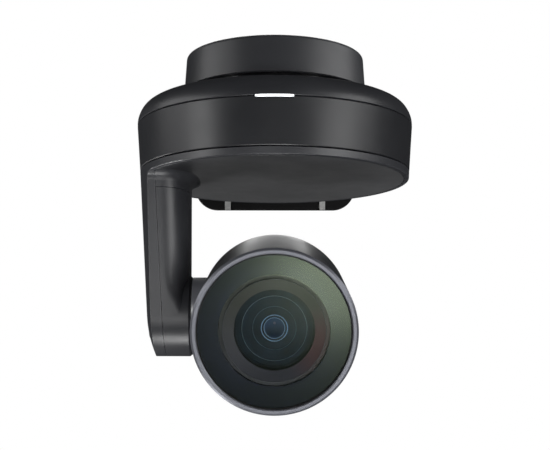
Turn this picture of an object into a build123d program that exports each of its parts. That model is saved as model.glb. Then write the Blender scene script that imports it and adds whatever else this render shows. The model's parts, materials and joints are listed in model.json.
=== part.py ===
"""Inverted pan-tilt-zoom conference camera hanging from an L-shaped wall bracket.

Working frame of the helpers: pan axis on Z, underside of the turntable at Z = 0,
lens looking towards -Y, arm on -X.  save() moves every piece so that the origin is
the centre of the bracket's wall face.
"""
import os
from math import atan, cos, degrees, pi, sin, sqrt

from build123d import *

# ---- driving dimensions, millimetres and degrees -----------------------------------
BASE_R = 76.0            # widest radius of the fixed base
BASE_R_LOW = 74.15       # radius of the side wall at its lower edge
WALL = 2.6               # shell thickness of the base and arm
WALL_Z0 = 4.4            # lower edge of the side wall
SEAM_Z = 29.5            # joint line between side wall and dome
SEAM_GAP = 0.3
DOME_TOP = 44.3
NECK_R = 47.5
FOOT_Z0, FOOT_Z1 = 48.8, 69.3
FOOT_R_LOW, FOOT_R_TOP = 50.4, 49.2
LED_W, LED_H, LED_Z = 19.5, 1.1, 29.45

TABLE_TOP = 3.8          # top of the rotating rim
TABLE_R = 73.86          # rim radius at Z = 0
CONE = 0.062             # slope of the rim and arm outer surface
PLATE_R = 71.2
PLATE_T = 2.0

TILT_Z = -74.8           # height of the tilt axis
TILT_REST = 12.3         # downward look at rest
ARM_END_R = 21.8
ARM_FLARE = 0.096        # widening of the arm towards the turntable, per side
ARM_IN = -46.0           # inner face of the arm
ARM_SEAM_X = -63.7       # joint plane of spine and inner cover at Z = 0
ARM_SEAM_SLOPE = -0.055
ARM_ROOT = 4.6           # radius of the fillet between arm and disc
ARM_JOINT_Z = -8.2       # top edge of the inner cover
ARM_FOOT = TILT_Z - 1    # where the column runs into the round end
ARM_ROUND_TO = -52.0     # the column keeps one roundness down to here
ARM_ROUNDNESS = 2.5      # exponent of its slices: 2 is an ellipse, more is squarer
ARM_SPREAD = 0.8         # how far the inner face stands back at ARM_FOOT
BOSS_X = -44.6           # end of the arm boss

BARREL_R = 42.2
BARREL_FRONT = 60.5
BARREL_REAR = 40.5
BARREL_T = 2.4
REAR_ROUND = 9.0
BEZEL_T = 2.7
BEZEL_R_IN = 39.2
HUB_R = 21.0

BRACKET_W = 100.0
BRACKET_T = 2.5
BRACKET_BACK = 98.5      # distance of the wall face behind the pan axis
BRACKET_Z0 = -0.5
SHELF_Z = 70.3
SHELF_R = 36.0
HOLE_DX, HOLE_DZ, HOLE_R = 76.0, 40.0, 2.6
STRIP_X, STRIP_W = 29.6, 3.6

PAN_MODULE, PAN_TEETH, PINION_TEETH = 0.75, 96, 16
TILT_MODULE, TILT_TEETH = 0.5, 64
PAN_MOTOR_AT = 45.0      # direction of the pan motor seen from above
MOTOR_RISE = TILT_MODULE * (TILT_TEETH + PINION_TEETH) / 2
RUN = 0.05               # running clearance, radial

ORIGIN = (0.0, BRACKET_BACK, 36.0)
SAVED = []


# ---- helpers -----------------------------------------------------------------------
def save(name, shape):
    shift = Pos(-ORIGIN[0], -ORIGIN[1], -ORIGIN[2])
    shape = Compound([shift * solid for solid in shape.solids()])
    shape.label = name
    export_step(shape, f"parts/{name}.step")
    SAVED.append(name)


def cyl(r, z0, z1, x=0.0, y=0.0):
    return Pos(x, y, (z0 + z1) / 2) * Cylinder(r, z1 - z0)


def ring(r_out, r_in, z0, z1, x=0.0, y=0.0):
    return cyl(r_out, z0, z1, x, y) - cyl(r_in, z0 - 1, z1 + 1, x, y)


def box(x0, x1, y0, y1, z0, z1):
    return Pos((x0 + x1) / 2, (y0 + y1) / 2, (z0 + z1) / 2) * Box(x1 - x0, y1 - y0, z1 - z0)


def turned(points):
    """Body of revolution about Z from (radius, height) corners."""
    with BuildSketch(Plane.XZ) as sk:
        with BuildLine():
            Polyline(*points, close=True)
        make_face()
    return revolve(sk.sketch, Axis.Z)


def lathe(build_line):
    """Body of revolution about Z from a function that draws a closed outline."""
    with BuildSketch(Plane.XZ) as sk:
        with BuildLine():
            build_line()
        make_face()
    return revolve(sk.sketch, Axis.Z)


def around(n, r, make, start=0.0):
    """n copies of make() standing on a circle of radius r."""
    return [Rot(Z=start + 360 * i / n) * (Pos(r, 0, 0) * make()) for i in range(n)]


def group(pieces):
    return Compound([s for p in pieces for s in p.solids()])


def cut(body, tools):
    for tool in tools:
        body = body - tool
    return body


def gear(module, teeth, thick, bore, at_tooth=True):
    """Spur gear on Z, its first tooth (or first gap) centred on +X."""
    pitch = module * teeth / 2
    tip, root = pitch + 0.8 * module, pitch - 1.1 * module
    step = 2 * pi / teeth
    shift = 0.0 if at_tooth else step / 2
    points = []
    for i in range(teeth):
        mid = i * step + shift
        for r, part in ((root, -0.34), (tip, -0.13), (tip, 0.13), (root, 0.34)):
            points.append((r * cos(mid + part * step), r * sin(mid + part * step)))
    with BuildSketch() as sk:
        with BuildLine():
            Polyline(*points, close=True)
        make_face()
        Circle(bore, mode=Mode.SUBTRACT)
    return extrude(sk.sketch, amount=thick)


def along_x(shape):
    """Turns a body made on Z so that its +Z points along +X through the tilt axis."""
    return Pos(0, 0, TILT_Z) * (Rot(Y=90) * shape)


def barrel(shape):
    """Places a body made on Z (front = +Z) on the lens axis at the rest tilt."""
    return Pos(0, 0, TILT_Z) * (Rot(X=TILT_REST) * (Rot(X=90) * shape))


# ---- arm surfaces ------------------------------------------------------------------
def half_width(z):
    """Half width of the spine in Y, tangent to the round arm end."""
    lean = atan(ARM_FLARE)
    y, z_t = ARM_END_R * cos(lean), TILT_Z - ARM_END_R * sin(lean)
    return y + ARM_FLARE * (z - z_t)


def root_flare(z):
    """Outward growth of the arm outline in the quarter-round root."""
    d = min(max(z + ARM_ROOT, 0.0), ARM_ROOT)
    return ARM_ROOT - sqrt(ARM_ROOT ** 2 - d ** 2)


def root_heights(steps):
    """Heights of the root's slices, at equal turns of its quarter round."""
    return [-ARM_ROOT * (1 - sin(pi / 2 * i / steps)) for i in range(steps + 1)]


def seam_x(z):
    return ARM_SEAM_X + ARM_SEAM_SLOPE * z


def seam_side(sign, gap=0.0):
    """Half space on the -X or +X side of the seam plane, kept gap away from it."""
    block = Pos(sign * (200 + gap), 0, 0) * Box(400, 400, 400)
    return Pos(ARM_SEAM_X, 0, 0) * (Rot(Y=degrees(atan(ARM_SEAM_SLOPE))) * block)


def outer_skin(inset=0.0):
    """Cone of the turntable rim continued down over the arm and curled in below."""
    r_top, r_knee = TABLE_R + CONE * TABLE_TOP - inset, TABLE_R + CONE * TILT_Z - inset
    with BuildSketch(Plane.XZ) as sk:
        with BuildLine():
            Line((0, TABLE_TOP), (r_top, TABLE_TOP))
            Line((r_top, TABLE_TOP), (r_knee, TILT_Z))
            bend = JernArc(start=(r_knee, TILT_Z), tangent=(-CONE, -1), radius=64, arc_size=-21)
            end = bend @ 1
            Line(end, (0, end.Y))
            Line((0, end.Y), (0, TABLE_TOP))
        make_face()
    return revolve(sk.sketch, Axis.Z)


def side_outline(inset=0.0, flared=True):
    """Spine outline seen from the side, extruded along -X."""
    lean = atan(ARM_FLARE)
    r = ARM_END_R - inset
    tangent = (r * cos(lean), TILT_Z - r * sin(lean))
    shrink = inset / cos(lean)
    right = [tangent]
    if flared:
        for z in root_heights(8):
            right.append((half_width(z) - shrink + root_flare(z), z))
        right.append((right[-1][0], TABLE_TOP))
    else:
        right.append((half_width(-1.5) - shrink, -1.5))
    left = [(-y, z) for y, z in reversed(right)]
    with BuildSketch(Plane.YZ) as sk:
        with BuildLine():
            Polyline(*right, *left)
            ThreePointArc(tangent, (0, TILT_Z - r), left[-1])
        make_face()
    return extrude(sk.sketch, amount=-90)


def near_tilt_axis(z):
    """0 down to ARM_ROUND_TO, then rising to 1 at the end of the column."""
    return max(0.0, (ARM_ROUND_TO - z) / (ARM_ROUND_TO - ARM_FOOT))


def arm_section(z, inset=0.0, flare=0.0):
    """D-shaped slice of the inner half: flat on the seam plane, squarer near the tilt axis."""
    power = ARM_ROUNDNESS + 5.5 * near_tilt_axis(z) ** 3
    x0 = seam_x(z) - (0.5 if inset else 0.0)
    x_in = ARM_IN + ARM_SPREAD * (min(z, 0.0) / ARM_FOOT) ** 2
    reach, wide = x_in - inset - x0 + flare, half_width(z) - inset + flare
    points = []
    for i in range(17):
        turn = -pi / 2 + pi * i / 16
        c, s = abs(cos(turn)), abs(sin(turn))
        k = (c ** power + s ** power) ** (-1 / power)
        points.append((x0 + reach * k * cos(turn), wide * k * sin(turn), z))
    bow = Spline(*points, tangents=[(1, 0, 0), (-1, 0, 0)])
    return make_face([bow, Line(points[-1], points[0])])


def arm_column(inset=0.0):
    """Inner half of the arm from just under the turntable to the tilt axis."""
    top = ARM_JOINT_Z if not inset else -2.0
    straight = loft([arm_section(z, inset) for z in (top, ARM_ROUND_TO)], ruled=True)
    heights = [ARM_ROUND_TO, -57, -62, -67, -71, ARM_FOOT]
    return straight + loft([arm_section(z, inset) for z in heights])


def arm_root():
    """Flared root between the inner cover and the turntable."""
    heights = [ARM_JOINT_Z] + root_heights(9)
    body = loft([arm_section(z, flare=root_flare(z)) for z in heights], ruled=True)
    return body + extrude(arm_section(0, flare=ARM_ROOT), amount=TABLE_TOP)


# ---- wall bracket ------------------------------------------------------------------
def make_bracket():
    back, top = BRACKET_BACK, SHELF_Z + BRACKET_T
    with BuildSketch(Plane.YZ) as sk:
        with BuildLine():
            Polyline((-SHELF_R, SHELF_Z), (-SHELF_R, top), (back, top), (back, BRACKET_Z0),
                     (back - BRACKET_T, BRACKET_Z0), (back - BRACKET_T, SHELF_Z), close=True)
        make_face()
        fillet([v for v in sk.vertices() if v.X > 90 and v.Y > top - 0.1], 3.5)
        fillet([v for v in sk.vertices() if v.X > 90 and abs(v.Y - SHELF_Z) < 0.1], 1.0)
    sheet = extrude(sk.sketch, amount=BRACKET_W / 2, both=True)
    with BuildSketch() as plan:
        Circle(SHELF_R)
        with BuildLine():
            Polyline((-SHELF_R, 0), (-BRACKET_W / 2, 70), (-BRACKET_W / 2, 120),
                     (BRACKET_W / 2, 120), (BRACKET_W / 2, 70), (SHELF_R, 0), close=True)
        make_face()
        Circle(3.4, mode=Mode.SUBTRACT)
    sheet = sheet & Pos(0, 0, -20) * extrude(plan.sketch, amount=120)
    with BuildSketch(Plane.XZ) as face:
        with Locations((0, (BRACKET_Z0 + 100) / 2)):
            Rectangle(BRACKET_W, 100 - BRACKET_Z0)
        fillet([v for v in face.vertices() if v.Z < 10], 14)
        with Locations((0, ORIGIN[2])):
            with GridLocations(HOLE_DX, HOLE_DZ, 2, 2):
                Circle(HOLE_R, mode=Mode.SUBTRACT)
    sheet = sheet & extrude(face.sketch, amount=130, both=True)
    front = back - BRACKET_T
    grooves = [box(x - STRIP_W / 2, x + STRIP_W / 2, front - 1, front + 0.6, BRACKET_Z0 - 1, 62)
               for x in (-STRIP_X, STRIP_X)]
    return cut(sheet, grooves)


def make_strips():
    front = BRACKET_BACK - BRACKET_T
    return group([box(x - STRIP_W / 2, x + STRIP_W / 2, front - 0.6, front + 0.6, BRACKET_Z0, 62)
                  for x in (-STRIP_X, STRIP_X)])


def make_bracket_screw():
    top = SHELF_Z + BRACKET_T
    body = cyl(3.0, 60.0, top) + cyl(6.5, top, top + 4.0)
    socket = extrude(Plane.XY.offset(top + 1.6) * RegularPolygon(2.6, 6), amount=3)
    return body - socket


# ---- fixed base --------------------------------------------------------------------
def wall_radius(z):
    return BASE_R_LOW + (BASE_R - BASE_R_LOW) * (z - WALL_Z0) / (SEAM_Z - WALL_Z0)


def led_window(grow=0.0):
    w, h = LED_W / 2 + grow, LED_H / 2 + grow
    return box(-w, w, -90, -60, LED_Z - h, LED_Z + h)


def make_side_wall():
    top = SEAM_Z - SEAM_GAP / 2
    body = turned([(wall_radius(WALL_Z0) - 0.5, WALL_Z0), (wall_radius(WALL_Z0 + 0.5), WALL_Z0 + 0.5),
                   (wall_radius(top - 0.4), top - 0.4), (wall_radius(top) - 0.35, top),
                   (wall_radius(top) - WALL, top), (wall_radius(24.3) - WALL, 24.3),
                   (68.0, 24.3), (68.0, 22.3), (70.5, 20.0), (wall_radius(19) - WALL, 19),
                   (wall_radius(WALL_Z0) - WALL, WALL_Z0)])
    body -= box(-24, 24, 55, 90, 9.5, 20.5)
    holes = around(4, 70.2, lambda: cyl(1.25, 21.5, 25), 45)
    return cut(body - led_window(0.05), holes)


def dome_line(inset):
    """Outline points of the dome from the seam to the flat crown."""
    low = SEAM_Z + SEAM_GAP / 2
    pts = [(75.95, low), (74.85, 35.3), (72.15, 39.45), (69.3, 41.4), (66.4, 42.4), (59.5, 43.6)]
    if inset:
        pts = [(73.4, low), (72.3, 34.9), (69.9, 37.9), (67.6, 39.3), (65.2, 40.1), (59.0, 41.2)]
    return pts


def make_dome():
    outer, inner = dome_line(0), dome_line(1)
    low = outer[0][1]

    def outline():
        Line((75.6, low), (75.95, low + 0.4))
        Spline((75.95, low + 0.4), *outer[1:], (50.5, DOME_TOP), tangents=[(0, 1), (-1, 0)])
        Line((50.5, DOME_TOP), (44.0, DOME_TOP))
        Line((44.0, DOME_TOP), (44.0, DOME_TOP - 2.4))
        Line((44.0, DOME_TOP - 2.4), (50.5, DOME_TOP - 2.4))
        Spline((50.5, DOME_TOP - 2.4), *reversed(inner), tangents=[(1, 0), (0, -1)])
        Line(inner[0], (75.6, low))

    return lathe(outline) - led_window(0.05)


def make_neck():
    flange = ring(NECK_R, 41.0, DOME_TOP, FOOT_Z0 - 0.2)
    spigot = ring(46.9, 41.0, FOOT_Z0 - 0.2, 55.0)
    lower = ring(43.9, 41.0, 40.0, DOME_TOP)
    return flange + spigot + lower


def make_foot():
    body = turned([(47.0, FOOT_Z0), (FOOT_R_LOW - 0.5, FOOT_Z0), (FOOT_R_LOW, FOOT_Z0 + 0.5),
                   (FOOT_R_TOP, FOOT_Z1), (0, FOOT_Z1), (0, FOOT_Z1 - 3), (46.4, FOOT_Z1 - 3),
                   (47.0, 62.0)])
    rim = [e for e in body.edges().filter_by(GeomType.CIRCLE)
           if abs(e.radius - FOOT_R_TOP) < 0.01]
    body = fillet(rim, 2.0)
    body += cyl(11.0, 57.0, FOOT_Z1 - 3)
    for i in range(4):
        body += Rot(Z=45 + 90 * i) * box(10.5, 47.0, -1.2, 1.2, 59.0, FOOT_Z1 - 2.9)
    body = cut(body, around(4, 43.95, lambda: box(-3.0, 3.0, -1.3, 1.3, 50, 55.2), 45))
    return body - cyl(6.5, 50, FOOT_Z1 + 1)


def make_foot_insert():
    return ring(6.5, 3.05, 57.0, FOOT_Z1) - ring(8, 6.1, 61, 63)


def make_foot_pad():
    body = ring(35.0, 9.0, FOOT_Z1, SHELF_Z)
    return cut(body, [ring(r + 0.6, r, SHELF_Z - 0.4, SHELF_Z + 1) for r in (16, 22, 28)])


def make_led_bar():
    body = ring(75.97, 72.6, LED_Z - LED_H / 2, LED_Z + LED_H / 2)
    return body & box(-LED_W / 2, LED_W / 2, -90, -60, 0, 60)


def make_led_board():
    return box(-14, 14, -71.0, -69.8, 26.8, 33.0)


def make_chassis():
    body = cyl(72.4, 24.3, 26.8) - cyl(24.0, 20, 30)
    body += group(around(4, 54, lambda: cyl(3.2, 26.8, 32.0), 20))
    body = cut(body, around(4, 54, lambda: cyl(1.25, 27, 33), 20))
    body = cut(body, around(4, 70.2, lambda: cyl(1.3, 24, 27), 45))
    slots = around(3, 44, lambda: box(-8, 8, -5, 5, 24, 27), 100)
    return cut(body, slots)


def make_chassis_screws():
    return group(around(4, 70.2, lambda: cyl(1.25, 22.5, 26.8) + cyl(2.1, 26.8, 28.2), 45))


def make_main_board():
    body = ring(61.0, 22.0, 32.0, 33.6)
    return cut(body, around(4, 54, lambda: cyl(1.3, 31, 35), 20))


def make_board_screws():
    return group(around(4, 54, lambda: cyl(1.25, 28.0, 33.6) + cyl(2.6, 33.6, 35.2), 20))


def make_chips():
    spots = ((-34, 22, 7, 7), (-18, 40, 5, 6), (8, 44, 6, 4), (34, -22, 6, 6), (14, -42, 8, 5))
    return group([box(x - a, x + a, y - b, y + b, 33.6, 35.4) for x, y, a, b in spots])


def make_heat_sink():
    base = box(-48, -26, -32, -10, 33.6, 35.6)
    fins = [box(-48 + 3.4 * i, -46.4 + 3.4 * i, -32, -10, 35.5, 40.0) for i in range(7)]
    for fin in fins:
        base += fin
    return base


def make_port_block():
    body = box(-23.9, 23.9, 56, 67, 9.6, 20.4)
    body += box(-23.9, 23.9, 66.9, 70.6, 9.6, 20.4) - box(-22.3, 22.3, 60, 75, 11, 19)
    body -= Pos(-17, 63, 15) * (Rot(X=90) * Cylinder(3.6, 9))
    body -= box(-10.0, -1.0, 60, 68, 13.4, 16.6)
    body -= box(2.5, 17.5, 60, 68, 12.2, 17.8)
    return body


def make_port_liners():
    """Metal sleeves of the three sockets."""
    jack = Pos(-17, 63.5, 15) * (Rot(X=90) * (Cylinder(3.6, 7) - Cylinder(3.1, 7)))
    data = box(-10, -1, 60.2, 67, 13.4, 16.6) - box(-9.5, -1.5, 61, 70, 13.9, 16.1)
    video = box(2.5, 17.5, 60.2, 67, 12.2, 17.8) - box(3.0, 17.0, 61, 70, 12.7, 17.3)
    return group([jack, data, video])


def make_port_pins():
    """Contact tongues and the centre pin of the sockets."""
    pin = Pos(-17, 61.6, 15) * (Rot(X=90) * Cylinder(0.9, 6.2))
    tongue = box(-8.6, -2.4, 61, 66, 14.7, 15.3)
    blade = box(5.0, 15.0, 61, 66, 14.6, 15.4)
    return group([pin, tongue, blade])


def make_pan_bearing():
    return ring(24.0, 18.0 + RUN, 20.0, 27.4)


def pan_motor_place(shape):
    reach = PAN_MODULE * (PAN_TEETH + PINION_TEETH) / 2
    return Rot(Z=PAN_MOTOR_AT) * (Pos(reach, 0, 0) * (Rot(Z=180) * shape))


def make_pan_motor():
    body = cyl(14.0, 14.0, 24.3) - cyl(2.0 + RUN, 13, 22)
    return pan_motor_place(body + ring(5.0, 2.0 + RUN, 12.8, 14.0))


def make_pan_pinion():
    body = Pos(0, 0, 7.3) * gear(PAN_MODULE, PINION_TEETH, 4.0, 0.01, False)
    return pan_motor_place(cyl(2.0, 7.3, 21.0) + body)


# ---- turntable and arm -------------------------------------------------------------
def root_footprint(grow, z0, z1):
    """Outline of the arm's root on the underside, from z0 below it to z1 above it."""
    slab = arm_section(0, flare=ARM_ROOT + grow)
    body = extrude(slab, amount=z1) + extrude(slab, amount=z0)
    side = half_width(0) + ARM_ROOT + grow
    return body + box(-90, ARM_SEAM_X + 0.1, -side, side, z0, z1)


def make_turntable():
    skin = outer_skin()
    disc = skin & cyl(90, 0, TABLE_TOP)
    recess = cyl(PLATE_R + 0.25, -1, PLATE_T) - root_footprint(0.0, -1.5, PLATE_T + 1)
    rim = [e for e in disc.edges().filter_by(GeomType.CIRCLE)
           if abs(e.center().Z) < 0.01 and e.radius > 70]
    disc = fillet(rim, 0.5)
    disc = cut(disc - recess - cyl(12.0, -5, 10), around(3, 26.0, lambda: cyl(1.2, 2.4, 5), 15))
    spine = skin & side_outline() & seam_side(-1, 0.12)
    root = arm_root() & seam_side(1, -0.3)
    body = disc + (spine - cyl(200, TABLE_TOP - 0.001, 50)) + root
    core = outer_skin(WALL) & side_outline(WALL + 0.4, False) & seam_side(-1, -1.0)
    body = body - core - arm_column(WALL)
    cup = along_x(ring(11.9, 10.5, -67.6, -62.4))
    post = along_x(cyl(6.0, -69.0, -66.5))
    body += cup + (Pos(0, 0, MOTOR_RISE) * post)
    return body - along_x(cyl(10.5, -66.2, -60.0))


def make_underside_plate():
    body = cyl(PLATE_R, 0.0, PLATE_T)
    rim = [e for e in body.edges().filter_by(GeomType.CIRCLE) if abs(e.center().Z) < 0.01]
    return chamfer(rim, 0.2) - root_footprint(0.12, -1, PLATE_T + 1)


def make_arm_cover():
    top = ARM_JOINT_Z - 0.3
    boss = along_x(turned([(0, -85), (ARM_END_R, -85), (ARM_END_R, BOSS_X - 1.0),
                           (ARM_END_R - 0.9, BOSS_X), (0, BOSS_X)]))
    outer = (arm_column() + boss) & seam_side(1, 0.12)
    outer = outer & box(-90, 0, -60, 60, -120, top)
    outer = outer & outer_skin()
    inner = arm_column(WALL) + along_x(cyl(ARM_END_R - WALL, -90, BOSS_X - WALL - 2.4))
    body = outer - inner
    return body - along_x(cyl(12.0, -60, -30))


def make_boss_ring():
    return along_x(ring(19.5, 12.0, BOSS_X, BOSS_X + 0.25))


def make_tilt_bearings():
    inner = along_x(ring(12.0, 8.0 + RUN, -50.0, BOSS_X))
    outer = along_x(ring(10.5, 8.0 + RUN, -66.2, -62.4))
    return group([inner, outer])


def make_tilt_motor():
    body = cyl(8.0, -66.5, -58.7) - cyl(1.5 + RUN, -65, -50)
    return Pos(0, 0, MOTOR_RISE) * along_x(body + ring(3.5, 1.5 + RUN, -58.7, -58.2))


def make_tilt_pinion():
    wheel = Pos(0, 0, -57.9) * gear(TILT_MODULE, PINION_TEETH, 3.6, 0.01, False)
    return Pos(0, 0, MOTOR_RISE) * along_x(wheel + cyl(1.5, -64.0, -54.3))


def make_pan_hub():
    body = ring(18.0, 12.0, 6.8, 29.0) + ring(30.0, 12.0, TABLE_TOP, 6.9)
    body = cut(body, around(3, 26.0, lambda: cyl(1.25, 3, 8), 15))
    return body - ring(19, 17.2, 27.5, 28.5)


def make_pan_retainer():
    return ring(20.5, 17.25, 27.5, 28.5) - box(10, 30, -3, 3, 20, 30)


def make_pan_gear():
    body = Pos(0, 0, 7.0) * (Rot(Z=PAN_MOTOR_AT) * gear(PAN_MODULE, PAN_TEETH, 4.0, 18.0))
    return cut(body, around(6, 26, lambda: cyl(4.5, 6, 12), 15))


def make_hub_screws():
    return group(around(3, 26.0, lambda: cyl(1.2, 2.4, 6.9) + cyl(1.9, 6.9, 8.1), 15))


# ---- lens barrel -------------------------------------------------------------------
def make_tilt_hub():
    body = cyl(HUB_R, BOSS_X + 0.45, -30.0) - cyl(4.0, -60, -10)
    return along_x(body) - barrel(cyl(BARREL_R, -80, 80))


def make_tilt_shaft():
    return along_x(ring(8.0, 4.0, -66.0, BOSS_X + 0.45))


def make_tilt_gear():
    wheel = Pos(0, 0, -57.9) * gear(TILT_MODULE, TILT_TEETH, 3.6, 8.0)
    turned_to_motor = Rot(Z=180) * wheel
    return along_x(cut(turned_to_motor, [Pos(0, 0, -60) * cyl(2.2, 0, 10, 12 * cos(a), 12 * sin(a))
                                         for a in (0.3, 1.35, 2.4, 3.44, 4.5, 5.54)]))


def make_barrel_shell():
    front, rear = BARREL_FRONT - BEZEL_T - 0.15, -BARREL_REAR
    r, t, q = BARREL_R, BARREL_T, REAR_ROUND

    def outline():
        Line((r, front), (r, rear + q))
        TangentArc((r, rear + q), (r - q, rear), tangent=(0, -1))
        Polyline((r - q, rear), (30.0, rear), (30.0, rear + t), (26.0, rear + t),
                 (26.0, rear + t + 2), (r - q, rear + t + 2))
        ThreePointArc((r - q, rear + t + 2), (r - t - 1.9, rear + q - 1.3), (r - t, rear + q))
        Polyline((r - t, rear + q), (r - t, front), (r, front))

    body = barrel(lathe(outline))
    body = body - along_x(cyl(4.0, -60, -30))
    return cut(body, [barrel(h) for h in around(4, 28.0, lambda: cyl(1.05, rear, rear + 6), 45)])


def make_bezel():
    f = BARREL_FRONT
    return barrel(turned([(BARREL_R, f - BEZEL_T), (BARREL_R, f - 1.1), (BARREL_R - 1.1, f),
                          (BEZEL_R_IN + 0.5, f), (BEZEL_R_IN, f - 0.5), (BEZEL_R_IN, f - BEZEL_T - 4),
                          (BARREL_R - BARREL_T, f - BEZEL_T - 4), (BARREL_R - BARREL_T, f - BEZEL_T)]))


def capped(r, u0, u_edge, u_top):
    """Plano-convex disc on Z: flat at u0, spherical from u_edge up to u_top."""
    sag = u_top - u_edge
    ball = (r ** 2 + sag ** 2) / (2 * sag)
    return cyl(r, u0, u_top + 1) & (Pos(0, 0, u_top - ball) * Sphere(ball))


def make_front_glass():
    return barrel(capped(BEZEL_R_IN, 57.7, 58.3, 60.0))


def make_mask():
    return barrel(turned([(BEZEL_R_IN, 57.6), (BEZEL_R_IN, 56.2), (28.2, 53.0), (28.2, 54.2)]))


def make_lens_housing():
    body = ring(31.0, 28.6, -12.0, 52.6) + ring(39.7, 30.9, 18.0, 20.0)
    body += ring(39.7, 30.9, 44.0, 46.0)
    return barrel(cut(body, around(3, 35.3, lambda: cyl(2.6, 10, 50), 60)))


def make_baffle():
    return barrel(turned([(26.2, 54.6), (26.2, 52.5), (28.5, 52.5), (28.5, 51.6), (20.6, 51.6),
                          (20.6, 52.8)]))


def make_front_lens():
    return barrel(capped(20.5, 46.4, 47.4, 51.5))


def make_lens_cell():
    body = ring(28.5, 20.5, 45.9, 51.5) + ring(28.5, 19.4, 45.9, 46.4)
    return barrel(cut(body, around(2, 24, lambda: cyl(1.5, 44, 49), 0)))


def make_stop_rings():
    body = turned([(28.5, 45.8), (16.6, 45.8), (16.6, 45.2), (11.1, 44.8), (11.1, 44.3),
                   (28.5, 44.3)])
    return barrel(cut(body, around(2, 24, lambda: cyl(1.5, 40, 50), 0)))


def make_iris():
    body = ring(28.5, 5.0, 43.6, 44.2) + ring(6.9, 6.5, 44.1, 44.9) + ring(5.5, 5.0, 44.1, 44.9)
    return barrel(cut(body, around(2, 24, lambda: cyl(1.5, 40, 50), 0)))


def carriage(r_lens, u0, thick, sag):
    """Lens carrier on two guide rods with its glass."""
    body = ring(27.0, r_lens, u0, u0 + thick)
    body = cut(body, around(2, 24, lambda: cyl(1.5 + RUN, u0 - 1, u0 + thick + 1), 0))
    body = cut(body, around(2, 27, lambda: box(-6, 2, -7, 7, u0 - 1, u0 + thick + 1), 90))
    mid = u0 + thick / 2
    ball = (r_lens ** 2 + sag ** 2) / (2 * sag)
    lens = cyl(r_lens, mid - thick, mid + thick) & (Pos(0, 0, mid + 0.6 + sag - ball) * Sphere(ball))
    lens = lens & (Pos(0, 0, mid - 0.6 - sag + ball) * Sphere(ball))
    return barrel(body), barrel(lens)


def make_guide_rods():
    return group([barrel(r) for r in around(2, 24, lambda: cyl(1.5, -10, 48.5), 0)])


def make_sensor_holder():
    body = cyl(28.5, -12.0, -10.0) - box(-8, 8, -6, 6, -20, 0)
    return barrel(body)


def make_sensor():
    return barrel(box(-7.5, 7.5, -5.5, 5.5, -13.4, -11.2))


def make_sensor_board():
    return barrel(cyl(26.0, -15.0, -13.4) - box(20, 30, -6, 6, -20, 0))


def make_sensor_studs():
    return group([barrel(s) for s in around(4, 22, lambda: cyl(1.8, -13.4, -12.0), 45)])


def make_barrel_sink():
    body = box(-17, 17, -17, 17, -17.5, -15.0)
    for i in range(8):
        body += box(-17 + 4.6 * i, -15.2 + 4.6 * i, -17, 17, -27.0, -17.4)
    return barrel(body)


def make_rear_cap():
    rear = -BARREL_REAR
    body = cyl(29.7, rear, rear + BARREL_T)
    body = cut(body, around(4, 28.0, lambda: cyl(1.1, rear - 1, rear + 5), 45))
    slots = [box(-14, 14, 3.4 * i - 0.8, 3.4 * i + 0.8, rear - 1, rear + 5) for i in range(-3, 4)]
    return barrel(cut(body, slots))


def make_cap_screws():
    rear = -BARREL_REAR
    return group([barrel(s) for s in around(4, 28.0, lambda: cyl(1.05, rear, rear + 4.3)
                                            + cyl(1.7, rear - 0.9, rear), 45)])


def main():
    os.makedirs("parts", exist_ok=True)
    save("mount_bracket", make_bracket())
    save("bracket_strips", make_strips())
    save("bracket_screw", make_bracket_screw())
    save("foot_shell", make_foot())
    save("foot_insert", make_foot_insert())
    save("foot_pad", make_foot_pad())
    save("neck_ring", make_neck())
    save("dome_shell", make_dome())
    save("side_wall", make_side_wall())
    save("led_bar", make_led_bar())
    save("led_board", make_led_board())
    save("chassis", make_chassis())
    save("chassis_screws", make_chassis_screws())
    save("main_board", make_main_board())
    save("board_screws", make_board_screws())
    save("board_chips", make_chips())
    save("board_heat_sink", make_heat_sink())
    save("port_block", make_port_block())
    save("port_liners", make_port_liners())
    save("port_pins", make_port_pins())
    save("pan_bearing", make_pan_bearing())
    save("pan_motor", make_pan_motor())
    save("pan_pinion", make_pan_pinion())
    save("turntable_arm", make_turntable())
    save("underside_plate", make_underside_plate())
    save("arm_cover", make_arm_cover())
    save("boss_ring", make_boss_ring())
    save("tilt_bearings", make_tilt_bearings())
    save("tilt_motor", make_tilt_motor())
    save("tilt_pinion", make_tilt_pinion())
    save("pan_hub", make_pan_hub())
    save("pan_retainer", make_pan_retainer())
    save("pan_gear", make_pan_gear())
    save("hub_screws", make_hub_screws())
    save("tilt_hub", make_tilt_hub())
    save("tilt_shaft", make_tilt_shaft())
    save("tilt_gear", make_tilt_gear())
    save("barrel_shell", make_barrel_shell())
    save("bezel_ring", make_bezel())
    save("front_glass", make_front_glass())
    save("mask_ring", make_mask())
    save("lens_housing", make_lens_housing())
    save("baffle_cone", make_baffle())
    save("front_lens", make_front_lens())
    save("lens_cell", make_lens_cell())
    save("stop_rings", make_stop_rings())
    save("iris_plate", make_iris())
    carrier, glass = carriage(12.0, 22.0, 5.0, 1.6)
    save("zoom_carrier", carrier)
    save("zoom_lens", glass)
    carrier, glass = carriage(9.5, 3.0, 4.0, 1.2)
    save("focus_carrier", carrier)
    save("focus_lens", glass)
    save("guide_rods", make_guide_rods())
    save("sensor_holder", make_sensor_holder())
    save("image_sensor", make_sensor())
    save("sensor_board", make_sensor_board())
    save("sensor_studs", make_sensor_studs())
    save("barrel_heat_sink", make_barrel_sink())
    save("rear_cap", make_rear_cap())
    save("rear_cap_screws", make_cap_screws())


main()
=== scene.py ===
"""Looks of the hanging pan-tilt-zoom camera: materials, thin lens rings, studio and camera."""

import json
import math

import bmesh
import bpy
from mathutils import Matrix, Vector


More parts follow.
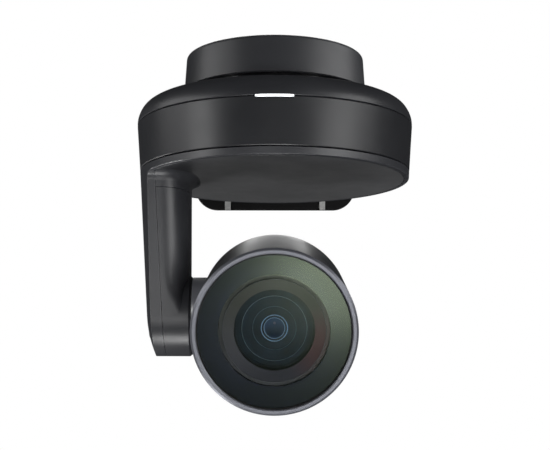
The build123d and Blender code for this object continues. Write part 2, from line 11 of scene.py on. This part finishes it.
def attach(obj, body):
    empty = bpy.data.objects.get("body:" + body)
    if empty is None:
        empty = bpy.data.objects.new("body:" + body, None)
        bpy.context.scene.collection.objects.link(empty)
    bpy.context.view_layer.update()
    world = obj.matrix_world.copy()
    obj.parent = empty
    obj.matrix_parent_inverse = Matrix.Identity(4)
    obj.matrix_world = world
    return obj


MM = 0.001
PAN_Y = -98.5 * MM                 # pan axis in the row frame
TABLE_Z = -36.0 * MM               # underside of the turntable disc
TILT_Z = -110.8 * MM               # tilt axis
REST_TILT = math.radians(12.3)     # the lens looks this far down at rest

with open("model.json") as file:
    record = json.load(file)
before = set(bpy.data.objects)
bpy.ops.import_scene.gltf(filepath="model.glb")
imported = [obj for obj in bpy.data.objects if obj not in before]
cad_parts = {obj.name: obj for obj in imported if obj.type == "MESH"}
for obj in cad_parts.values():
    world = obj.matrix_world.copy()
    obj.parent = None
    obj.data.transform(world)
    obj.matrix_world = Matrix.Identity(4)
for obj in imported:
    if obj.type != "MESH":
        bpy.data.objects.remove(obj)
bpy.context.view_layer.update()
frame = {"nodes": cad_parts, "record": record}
nodes = frame["nodes"]


# ---- shader helpers ------------------------------------------------------------------
class Tree:
    """Short ways to build one material's node tree."""

    def __init__(self, name):
        self.mat = bpy.data.materials.new(name)
        self.mat.use_nodes = True
        self.nt = self.mat.node_tree
        self.bsdf = self.nt.nodes["Principled BSDF"]
        self.out = self.nt.nodes["Material Output"]
        self.coord = self.add("ShaderNodeTexCoord").outputs["Object"]

    def add(self, kind, **values):
        node = self.nt.nodes.new(kind)
        for key, value in values.items():
            setattr(node, key, value)
        return node

    def put(self, socket, value):
        """Link another socket, or set a plain value. Colours may leave out their alpha."""
        if isinstance(value, bpy.types.NodeSocket):
            self.nt.links.new(value, socket)
        elif isinstance(value, (tuple, list)) and len(value) == 3 and len(socket.default_value) == 4:
            socket.default_value = (*value, 1)
        else:
            socket.default_value = value

    def set(self, **values):
        """Set inputs of the main shader, with _ for each space in a name."""
        for key, value in values.items():
            self.put(self.bsdf.inputs[key.replace("_", " ")], value)

    def math(self, op, a, b=0.0, clamp=False):
        node = self.add("ShaderNodeMath", operation=op, use_clamp=clamp)
        self.put(node.inputs[0], a)
        self.put(node.inputs[1], b)
        return node.outputs[0]

    def vector(self, op, a, b):
        node = self.add("ShaderNodeVectorMath", operation=op)
        self.put(node.inputs[0], a)
        self.put(node.inputs[1], b)
        return node.outputs["Value" if op == "DOT_PRODUCT" else "Vector"]

    def texture(self, kind, scale, **values):
        """Texture node on the object's own coordinates."""
        node = self.add(kind, **values)
        self.put(node.inputs["Vector"], self.coord)
        self.put(node.inputs["Scale"], scale)
        return node

    def noise(self, scale, detail=3.0, rough=0.5, stretch=None, seed=0.0):
        node = self.texture("ShaderNodeTexNoise", scale)
        if stretch:
            self.put(node.inputs["Vector"], self.vector("MULTIPLY", self.coord, stretch))
        if seed:
            away = (seed, seed * 1.7, seed * 0.6)
            self.put(node.inputs["Vector"], self.vector("ADD", self.coord, away))
        self.put(node.inputs["Detail"], detail)
        self.put(node.inputs["Roughness"], rough)
        return node.outputs["Fac"]

    def map(self, value, a, b, c, d, smooth=False):
        """Map a..b onto c..d."""
        node = self.add("ShaderNodeMapRange", interpolation_type="SMOOTHSTEP" if smooth else "LINEAR")
        for i, v in enumerate((value, a, b, c, d)):
            self.put(node.inputs[i], v)
        return node.outputs[0]

    def spread(self, noise, low, high):
        """Map the usual span of a noise onto low..high."""
        return self.map(noise, 0.3, 0.7, low, high)

    def mix(self, fac, a, b, blend="MIX"):
        node = self.add("ShaderNodeMix", data_type="RGBA", blend_type=blend)
        self.put(node.inputs["Factor"], fac)
        self.put(node.inputs[6], a)
        self.put(node.inputs[7], b)
        return node.outputs[2]

    def bump(self, height, distance, strength=1.0, under=None):
        node = self.add("ShaderNodeBump")
        self.put(node.inputs["Height"], height)
        self.put(node.inputs["Distance"], distance)
        self.put(node.inputs["Strength"], strength)
        if under:
            self.put(node.inputs["Normal"], under)
        return node.outputs["Normal"]

    def edge(self, radius):
        """1 along sharp outer edges, 0 on flat faces."""
        bevel = self.add("ShaderNodeBevel", samples=4)
        self.put(bevel.inputs["Radius"], radius)
        flat = self.add("ShaderNodeNewGeometry").outputs["Normal"]
        same = self.vector("DOT_PRODUCT", bevel.outputs["Normal"], flat)
        return self.map(same, 0.995, 0.86, 0.0, 1.0)

    def fresnel(self, ior, gain):
        node = self.add("ShaderNodeFresnel")
        self.put(node.inputs["IOR"], ior)
        return self.math("MULTIPLY", node.outputs[0], gain, clamp=True)

    def clear(self, tint):
        """Shader that lets light straight through."""
        node = self.add("ShaderNodeBsdfTransparent")
        self.put(node.inputs["Color"], tint)
        return node.outputs[0]

    def surface(self, fac, below, above):
        """Give the material a mix of two shaders."""
        node = self.add("ShaderNodeMixShader")
        self.put(node.inputs[0], fac)
        self.put(node.inputs[1], below)
        self.put(node.inputs[2], above)
        self.put(self.out.inputs["Surface"], node.outputs[0])


def shade(base, part):
    return tuple(c * part for c in base)


# ---- materials -----------------------------------------------------------------------
def plastic(name, base, rough, grain=7000.0, depth=6e-6, spread=0.06, painted_edge_highlight=0.25):
    """Moulded plastic: fine spark texture, faint flow marks, slightly polished edges with a painted
    highlight along them.
    """
    t = Tree(name)
    cloud = t.noise(22.0, 4.0, 0.6)
    fine = t.noise(grain, 2.0, 0.6)
    color = t.mix(t.spread(cloud, 0.0, 1.0), shade(base, 0.92), shade(base, 1.08))
    speck = t.map(fine, 0.35, 0.65, 0.94, 1.06)
    color = t.mix(1.0, color, speck, "MULTIPLY")
    edge = t.edge(0.6 * MM)
    # painted highlight: sharp edges lightened towards 2.2 times the base colour
    color = t.mix(t.math("MULTIPLY", edge, painted_edge_highlight), color, shade(base, 2.2))
    dull = t.spread(cloud, rough - spread, rough + spread)
    t.set(Base_Color=color, Roughness=t.math("SUBTRACT", dull, t.math("MULTIPLY", edge, 0.08)))
    t.set(Normal=t.bump(fine, depth), Specular_IOR_Level=0.5)
    return t.mat


def metal(name, base, rough, stretch=(1, 1, 1), scale=900.0, metallic=1.0, tint=None, painted_edge_highlight=0.15):
    """Worked metal: directional tool marks, slight stain, and a painted highlight that brightens the
    edges.
    """
    t = Tree(name)
    marks = t.noise(scale, 3.0, 0.65, stretch)
    stain = t.noise(60.0, 4.0, 0.6, seed=3.1)
    color = t.mix(t.map(stain, 0.35, 0.7, 0.0, 0.6), base, tint or shade(base, 0.8))
    # painted highlight: edges lightened to 1.3 times the base colour
    color = t.mix(t.math("MULTIPLY", t.edge(0.4 * MM), painted_edge_highlight), color, shade(base, 1.3))
    t.set(Base_Color=color, Metallic=metallic, Roughness=t.spread(marks, rough - 0.08, rough + 0.1))
    t.set(Normal=t.bump(marks, 4e-6))
    return t.mat


def powder_coat(name, base, rough):
    """Baked powder paint with orange peel over sheet metal."""
    t = Tree(name)
    peel = t.noise(1400.0, 2.0, 0.5)
    dust = t.noise(5200.0, 2.0, 0.6, seed=1.3)
    color = t.mix(t.map(t.noise(40.0, 3.0), 0.35, 0.65, 0, 1), shade(base, 0.9), shade(base, 1.1))
    # painted highlight: sharp edges lightened towards twice the paint colour
    color = t.mix(t.math("MULTIPLY", t.edge(0.5 * MM), 0.4), color, shade(base, 2.0))
    t.set(Base_Color=color, Roughness=t.spread(dust, rough - 0.05, rough + 0.07))
    t.set(Normal=t.bump(dust, 4e-6, 1.0, t.bump(peel, 1.6e-5)))
    return t.mat


def rubber(name, base):
    """Dull rubber with a pale bloom."""
    t = Tree(name)
    fine = t.noise(3800.0, 3.0, 0.7)
    bloom = t.noise(70.0, 4.0, 0.6)
    color = t.mix(t.map(bloom, 0.4, 0.7, 0, 0.5), base, shade(base, 1.7))
    t.set(Base_Color=color, Roughness=t.spread(bloom, 0.72, 0.86))
    t.set(Normal=t.bump(fine, 1.6e-5))
    return t.mat


def board(name):
    """Circuit board: solder mask, copper runs under it and gold pads."""
    t = Tree(name)
    brick = t.texture("ShaderNodeTexBrick", 190.0, offset=0.37, squash=0.7, squash_frequency=3)
    t.put(brick.inputs["Mortar Size"], 0.05)
    runs = brick.outputs["Fac"]
    dots = t.texture("ShaderNodeTexVoronoi", 420.0)
    pad = t.map(dots.outputs["Distance"], 0.12, 0.16, 1.0, 0.0)
    mask = t.mix(t.spread(t.noise(90.0), 0, 1), (0.004, 0.055, 0.028), (0.006, 0.075, 0.038))
    mask = t.mix(runs, mask, (0.012, 0.12, 0.06))
    t.set(Base_Color=t.mix(pad, mask, (0.72, 0.52, 0.2)), Metallic=pad)
    t.set(Roughness=t.map(pad, 0, 1, 0.32, 0.25))
    t.set(Normal=t.bump(t.math("ADD", runs, pad), 2e-5, 0.6))
    return t.mat


def chip(name):
    """Moulded package with faint diagonal lines."""
    t = Tree(name)
    fine = t.noise(5200.0, 3.0, 0.6)
    wave = t.texture("ShaderNodeTexWave", 260.0, wave_type="BANDS", bands_direction="DIAGONAL")
    line = t.map(wave.outputs["Fac"], 0.9, 1.0, 0, 0.4)
    t.set(Base_Color=t.mix(line, (0.012, 0.012, 0.013), (0.035, 0.035, 0.036)))
    t.set(Roughness=t.spread(fine, 0.45, 0.6), Normal=t.bump(fine, 5e-6))
    return t.mat


def lit_bar(name):
    """Milky light guide, brightest along its middle."""
    t = Tree(name)
    x = t.add("ShaderNodeSeparateXYZ")
    t.put(x.inputs[0], t.coord)
    across = t.math("ABSOLUTE", x.outputs[0])
    ends = t.map(across, 6.5 * MM, 9.8 * MM, 1.0, 0.35, smooth=True)
    glow = t.math("MULTIPLY", ends, t.spread(t.noise(700.0), 0.92, 1.05))
    t.set(Base_Color=(0.85, 0.87, 0.9), Roughness=0.35, Emission_Color=(0.94, 0.97, 1.0))
    t.set(Emission_Strength=t.math("MULTIPLY", glow, 2.6), Normal=t.bump(t.noise(2500.0), 3e-6))
    return t.mat


def sensor(name):
    """Imaging chip: dark violet pixel field with a fine grid."""
    t = Tree(name)
    brick = t.texture("ShaderNodeTexBrick", 1800.0, offset=0.0)
    t.put(brick.inputs["Color1"], (0.05, 0.03, 0.09))
    t.put(brick.inputs["Color2"], (0.03, 0.05, 0.09))
    t.put(brick.inputs["Mortar"], (0.15, 0.16, 0.2))
    t.set(Base_Color=brick.outputs["Color"], Metallic=0.7)
    t.set(Roughness=t.spread(t.noise(300.0), 0.12, 0.2))
    return t.mat


# ---- lens materials, laid out round the lens axis ------------------------------------------
def lens_axes(t):
    """Distances to the right of the lens axis and above it, in metres."""
    rel = t.vector("SUBTRACT", t.coord, (0, PAN_Y, TILT_Z))
    right = t.vector("DOT_PRODUCT", rel, (1, 0, 0))
    up = t.vector("DOT_PRODUCT", rel, (0, -math.sin(REST_TILT), math.cos(REST_TILT)))
    return right, up


def lens_radius(t):
    right, up = lens_axes(t)
    return t.math("SQRT", t.math("ADD", t.math("MULTIPLY", right, right), t.math("MULTIPLY", up, up)))


def see_through(t, tint, gloss_tint, rough, reflectance):
    """Clear transmission under a tinted mirror lobe of the given reflectance."""
    gloss = t.add("ShaderNodeBsdfGlossy")
    t.put(gloss.inputs["Color"], gloss_tint)
    t.put(gloss.inputs["Roughness"], rough)
    t.surface(reflectance, t.clear(tint), gloss.outputs[0])
    return t.mat


def window_glass(name):
    """Front window: anti-reflection coated in the clear middle, a green mirror sheen over the print."""
    t = Tree(name)
    haze = t.noise(55.0, 4.0, 0.6)
    printed = t.map(lens_radius(t), 28.0 * MM, 28.4 * MM, 0.22, 0.8)
    tint = t.mix(t.map(haze, 0.35, 0.7, 0.0, 1.0), (0.97, 0.98, 0.98), (0.94, 0.96, 0.95))
    rough = t.spread(haze, 0.22, 0.235)
    return see_through(t, tint, (0.83, 1.0, 0.70), rough, t.fresnel(1.45, printed))


def element_glass(name):
    """Ground lens element with a blue coating."""
    t = Tree(name)
    haze = t.spread(t.noise(70.0, 3.0), 0.0, 1.0)
    tint = t.mix(haze, (0.80, 0.88, 0.96), (0.76, 0.85, 0.94))
    rough = t.map(haze, 0, 1, 0.12, 0.16)
    return see_through(t, tint, (0.60, 0.75, 1.0), rough, t.fresnel(1.5, 0.07))


def deep_glass(name):
    """Inner element in half shade: a diffuse navy that paints the blue coating's reflection, with a
    painted warm highlight spot in the middle.
    """
    t = Tree(name)
    haze = t.spread(t.noise(200.0, 3.0), 0.9, 1.1)
    # painted highlight: a warm spot at the very centre of the lens axis
    spot = t.map(lens_radius(t), 0.5 * MM, 0.9 * MM, 1.0, 0.0)
    color = t.mix(spot, (0.10, 0.16, 0.27), (0.50, 0.40, 0.48))
    t.set(Base_Color=t.mix(1.0, color, haze, "MULTIPLY"), Roughness=0.5, Specular_IOR_Level=0.1)
    t.surface(0.75, t.clear((0.45, 0.55, 0.70)), t.bsdf.outputs[0])
    return t.mat


def mask_print(name):
    """Satin navy-black print behind the front glass."""
    t = Tree(name)
    cloud = t.noise(60.0, 3.0)
    color = t.mix(t.spread(cloud, 0, 1), (0.0085, 0.0100, 0.0320), (0.0095, 0.0112, 0.0345))
    t.set(Base_Color=color, Roughness=t.spread(cloud, 0.42, 0.48), Specular_IOR_Level=0.12)
    return t.mat


def baffle_painted_sheen(name):
    """Satin baffle: brown grey above, violet grey below, and a painted wine-red sheen at the lower
    right.
    """
    t = Tree(name)
    right, up = lens_axes(t)
    above = t.map(up, -20 * MM, 22 * MM, 0.0, 1.0, smooth=True)
    color = t.mix(above, (0.032, 0.030, 0.046), (0.028, 0.027, 0.022))
    # painted reflection: a wine-red sheen blended in round the lower right of the lens axis
    from_red = t.math("ABSOLUTE", t.math("ADD", t.math("ARCTAN2", up, right), 0.30))
    red = t.map(from_red, 1.0, 0.10, 0.0, 1.0, smooth=True)
    color = t.mix(red, color, (0.075, 0.026, 0.034))
    t.set(Base_Color=color, Roughness=t.spread(t.noise(900.0, 2.0), 0.42, 0.5))
    return t.mat


SHELL = (0.0215, 0.0222, 0.0250)
BLACK = (0.006, 0.006, 0.007)
MATERIALS = {
    "shell": plastic("shell", SHELL, 0.37),
    "neck_gloss": plastic("neck_gloss", BLACK, 0.16, 3000.0, 1e-6, 0.03, 0.1),
    "bracket_paint": powder_coat("bracket_paint", (0.0028, 0.0029, 0.0032), 0.55),
    "strip_metal": metal("strip_metal", (0.78, 0.78, 0.77), 0.5, (1, 1, 0.04), 2500.0),
    "steel": metal("steel", (0.52, 0.53, 0.55), 0.3, (1, 1, 0.1)),
    "brass": metal("brass", (0.66, 0.46, 0.16), 0.3, (1, 1, 0.15), tint=(0.45, 0.28, 0.10)),
    "pad_rubber": rubber("pad_rubber", (0.02, 0.02, 0.02)),
    "light_guide": lit_bar("light_guide"),
    "board": board("board"),
    "chip": chip("chip"),
    "aluminium": metal("aluminium", (0.68, 0.69, 0.71), 0.34, (0.2, 1, 1), 1200.0),
    "port_metal": metal("port_metal", (0.55, 0.55, 0.57), 0.32, (1, 0.1, 1), 1500.0),
    "port_gold": metal("port_gold", (0.78, 0.58, 0.22), 0.22, (1, 0.2, 1), 1500.0),
    "gear_plastic": plastic("gear_plastic", (0.62, 0.60, 0.54), 0.45, 4200.0, 5e-6, 0.05, 0.05),
    "motor_can": metal("motor_can", (0.40, 0.41, 0.43), 0.36, (1, 1, 0.05), 1800.0),
    "inner_black": plastic("inner_black", BLACK, 0.55, 5200.0, 5e-6, 0.05, 0.2),
    # the bezel carries a strong painted highlight along its edges
    "bezel_finish": metal("bezel_finish", (0.17, 0.175, 0.20), 0.36, scale=2600.0, metallic=0.5,
                          tint=(0.16, 0.165, 0.19), painted_edge_highlight=0.6),
    "front_glass": window_glass("front_glass"),
    "mask_gloss": mask_print("mask_gloss"),
    "lens_glass": element_glass("lens_glass"),
    "sensor_silicon": sensor("sensor_silicon"),
}
LOOKS = {    # nodes that look different from the rest of their slot; the shell copies are the shell brightened, painted light where the lamps bring too little
    "dome_shell": plastic("dome_shell", shade(SHELL, 1.45), 0.37),
    # the arm's edges also get a strong painted highlight along the rim and crease
    "turntable_arm": plastic("turntable_arm", shade(SHELL, 1.4), 0.37, painted_edge_highlight=0.7),
    "arm_cover": plastic("arm_cover", shade(SHELL, 1.4), 0.37),
    "foot_shell": plastic("foot_shell", shade(SHELL, 1.6), 0.42),
    # barrel brightened: painted light that stands in for the lit band along its top
    "barrel_shell": plastic("barrel_shell", shade(SHELL, 1.7), 0.31, 7000.0, 1.2e-6, 0.015),
    # tilt hub at three times the shell: painted light on a part that sits in shade
    "tilt_hub": plastic("tilt_hub", shade(SHELL, 3.0), 0.36),
    "baffle_cone": baffle_painted_sheen("baffle_painted_sheen"),
    "iris_plate": MATERIALS["inner_black"],
    "zoom_lens": deep_glass("zoom_glass"),
}

for part in frame["record"]["subparts"]:
    cad = nodes[part["node"]]
    cad.data.materials.clear()
    cad.data.materials.append(LOOKS.get(part["node"], MATERIALS[part["material_slot"]]))


# ---- thin rings in the lens ------------------------------------------------------------
RING_STEPS = 192
WIRE_STEPS = 10


def lens_matrix():
    """Local +Z to the front of the lens axis, local +Y upwards, origin on the tilt axis."""
    x = Vector((-1, 0, 0))
    z = Vector((0, -math.cos(REST_TILT), -math.sin(REST_TILT)))
    m = Matrix((x, z.cross(x), z)).transposed().to_4x4()
    m.translation = Vector((0, PAN_Y, TILT_Z))
    return m


def circle(steps):
    return [(math.cos(2 * math.pi * i / steps), math.sin(2 * math.pi * i / steps)) for i in range(steps)]


def lens_ring(name, radius, height, wire, material):
    """Round ring about the lens axis, with a round section of radius wire, in millimetres."""
    place = lens_matrix()
    section = [(radius + wire * c, height + wire * s) for c, s in circle(WIRE_STEPS)]
    bm = bmesh.new()
    rows = []
    for c, s in circle(RING_STEPS):
        rows.append([bm.verts.new(place @ Vector((r * c * MM, r * s * MM, z * MM))) for r, z in section])
    for i, row in enumerate(rows):
        after = rows[(i + 1) % RING_STEPS]
        for j in range(WIRE_STEPS):
            k = (j + 1) % WIRE_STEPS
            bm.faces.new((row[j], after[j], after[k], row[k]))
    bmesh.ops.recalc_face_normals(bm, faces=bm.faces)
    mesh = bpy.data.meshes.new(name)
    bm.to_mesh(mesh)
    bm.free()
    for poly in mesh.polygons:
        poly.use_smooth = True
    obj = bpy.data.objects.new(name, mesh)
    bpy.context.scene.collection.objects.link(obj)
    mesh.materials.append(material)
    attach(obj, "lens_barrel")


# painted shadow: a near-black ring for the dark shadow line inside the bezel at the glass edge
glass_edge_painted_shadow = rubber("glass_edge_painted_shadow", (0.004, 0.004, 0.005))
mask_edge = metal("mask_edge", (0.06, 0.065, 0.07), 0.3)
baffle_edge = metal("baffle_edge", (0.10, 0.10, 0.12), 0.35)
glint = metal("ring_glint", (0.46, 0.43, 0.36), 0.35, scale=2200.0, metallic=0.3)
stop_edge = metal("stop_edge", (0.30, 0.34, 0.32), 0.35)
# painted reflection: pale blue-white iris rings for the blue coating's ring-shaped reflections
blue_reflection_ring = metal("ring_painted_blue_reflection", (0.72, 0.85, 1.0), 0.35, scale=2200.0, metallic=0.1)
lens_ring("glass_edge_ring", 38.85, 58.75, 0.33, glass_edge_painted_shadow)
lens_ring("mask_edge_ring", 28.3, 54.35, 0.13, mask_edge)
lens_ring("baffle_edge_ring", 26.1, 54.62, 0.12, baffle_edge)
lens_ring("lens_edge_ring", 16.6, 45.95, 0.14, glint)
lens_ring("stop_edge_ring", 11.1, 45.0, 0.10, stop_edge)
lens_ring("iris_outer_ring", 6.7, 45.05, 0.20, blue_reflection_ring)
lens_ring("iris_inner_ring", 5.3, 45.05, 0.15, blue_reflection_ring)


# ---- studio ------------------------------------------------------------------------------
LIGHT_CENTRE = Vector((0, PAN_Y, -90 * MM))
LIGHT_DISTANCE = 1.4
FLOOR_HALF, FLOOR_Z = 8.0, -1.7
PAPER_GLOW = 0.86                  # keeps the floor pale where the camera sees it


def studio_world():
    """White background, with a little of it as fill light."""
    world = bpy.data.worlds.new("studio")
    bpy.context.scene.world = world
    world.use_nodes = True
    nt = world.node_tree
    fill = nt.nodes["Background"]
    fill.inputs["Color"].default_value = (0.93, 0.96, 1.0, 1)
    fill.inputs["Strength"].default_value = 0.03
    seen = nt.nodes.new("ShaderNodeBackground")
    seen.inputs["Color"].default_value = (1, 1, 1, 1)
    seen.inputs["Strength"].default_value = 1.0
    path = nt.nodes.new("ShaderNodeLightPath")
    mix = nt.nodes.new("ShaderNodeMixShader")
    nt.links.new(path.outputs["Is Camera Ray"], mix.inputs[0])
    nt.links.new(fill.outputs[0], mix.inputs[1])
    nt.links.new(seen.outputs[0], mix.inputs[2])
    nt.links.new(mix.outputs[0], nt.nodes["World Output"].inputs["Surface"])


def linked(parts, state):
    """Collection that tells a light which nodes it includes or excludes."""
    group = bpy.data.collections.new("light_link")
    for part in parts:
        group.objects.link(nodes[part])
    for entry in group.collection_objects:
        entry.light_linking.link_state = state
    return group


def softbox(name, azimuth, elevation, power, size=(0.45, 0.45), only=(), skip=(), through=()):
    """Rectangular light round the pan axis. Azimuth 0 is in front, 90 on +X.

    It lights only the nodes in only, or all but those in skip, and those in through cast no shadow.
    """
    data = bpy.data.lights.new(name, "AREA")
    data.shape, data.size, data.size_y = "RECTANGLE", *size
    data.energy = power
    obj = bpy.data.objects.new(name, data)
    bpy.context.scene.collection.objects.link(obj)
    obj.visible_camera = False
    a, e = math.radians(azimuth), math.radians(elevation)
    away = Vector((math.sin(a) * math.cos(e), -math.cos(a) * math.cos(e), math.sin(e)))
    obj.location = LIGHT_CENTRE + away * LIGHT_DISTANCE
    obj.rotation_euler = (-away).to_track_quat("-Z", "Y").to_euler()
    if only:
        obj.light_linking.receiver_collection = linked(only, "INCLUDE")
    if skip:
        obj.light_linking.receiver_collection = linked(skip, "EXCLUDE")
    if through:
        obj.light_linking.blocker_collection = linked(through, "EXCLUDE")


def floor():
    """Pale paper floor."""
    t = Tree("pale_floor")
    color = t.mix(t.spread(t.noise(3.0), 0, 1), (0.90, 0.90, 0.90), (0.93, 0.93, 0.93))
    seen = t.add("ShaderNodeLightPath").outputs["Is Camera Ray"]
    t.set(Base_Color=color, Roughness=0.8, Normal=t.bump(t.noise(400.0), 1e-4, 0.2))
    t.set(Emission_Color=(1, 1, 1), Emission_Strength=t.map(seen, 0, 1, 0.02, PAPER_GLOW))
    mesh = bpy.data.meshes.new("floor")
    s, z = FLOOR_HALF, FLOOR_Z
    mesh.from_pydata([(-s, -s, z), (s, -s, z), (s, s, z), (-s, s, z)], [], [(0, 1, 2, 3)])
    obj = bpy.data.objects.new("floor", mesh)
    bpy.context.scene.collection.objects.link(obj)
    mesh.materials.append(t.mat)
    obj.visible_glossy = False


def main_camera():
    """Slightly below the turntable, looking up, at 700 mm from the pan axis."""
    yaw, pitch, roll = math.radians(0.1), 0.1503, 0.0012
    aside, back, drop = 0.16 * MM, 700 * MM, 130.6 * MM
    data = bpy.data.cameras.new("camera")
    data.sensor_width, data.lens = 36.0, 84.16
    data.clip_start, data.clip_end = 0.05, 30.0
    cam = bpy.data.objects.new("camera", data)
    bpy.context.scene.collection.objects.link(cam)
    bpy.context.scene.camera = cam
    turn = Matrix.Rotation(yaw, 4, "Z")
    spot = turn @ Vector((aside, -back, 0)) + Vector((0, PAN_Y, TABLE_Z - drop))
    look = turn @ Matrix.Rotation(math.pi / 2 + pitch, 4, "X") @ Matrix.Rotation(roll, 4, "Z")
    cam.matrix_world = Matrix.Translation(spot) @ look


GLASS = ("front_glass", "front_lens")
DARK = GLASS + ("mount_bracket",)
TOP = GLASS + ("dome_shell", "neck_ring")
ARM = ("turntable_arm", "arm_cover")
HUB = ("tilt_hub", "boss_ring")
BARREL = GLASS + ("barrel_shell", "bezel_ring", "mask_ring") + HUB
INSIDE = BARREL + ("baffle_cone", "lens_cell", "lens_housing", "stop_rings", "iris_plate")

studio_world()
softbox("left_front", -60, 6, 5.2, (0.45, 0.75), skip=GLASS)
softbox("left_side", -88, 22, 3.2, (0.8, 0.45))
softbox("right_front", 50, 2, 4.6, (0.75, 0.5), skip=GLASS)
softbox("right_side", 68, 22, 4.9, (0.85, 0.45))
softbox("low_left_back", -135, -40, 10.7, skip=GLASS)
softbox("floor_bounce", 0, -74, 10.0, skip=DARK)
softbox("low_front", 8, -20, 4.5, (0.8, 0.45), skip=DARK)
softbox("high_back", 180, 48, 6.0, (0.8, 0.5), skip=TOP)
softbox("arm_front", -7, -7, 1.6, (0.35, 0.35), only=ARM)
softbox("arm_side", 40, -9, 3.2, (0.6, 0.5), only=ARM, through=BARREL)
softbox("hub_front", -3, 10, 12.0, (0.3, 0.3), only=HUB, through=("bezel_ring",))
softbox("foot_edge", 97, 22, 3.4, only=("foot_shell",))
softbox("backdrop", 180, -14, 0.33, (1.2, 0.3), only=("underside_plate",))
softbox("barrel_glow", 180, 14, 0.95, (0.26, 0.30), only=("barrel_shell",))
softbox("deep_glow", 0, -12, 2.8, (0.3, 0.3), only=("zoom_lens",), through=INSIDE)
softbox("lens_sheen", 8.6, -12, 3.3, (0.40, 0.40), only=("front_glass",))
floor()
main_camera()
bpy.context.scene.view_settings.view_transform = "Standard"
bpy.context.scene.cycles.use_denoising = True
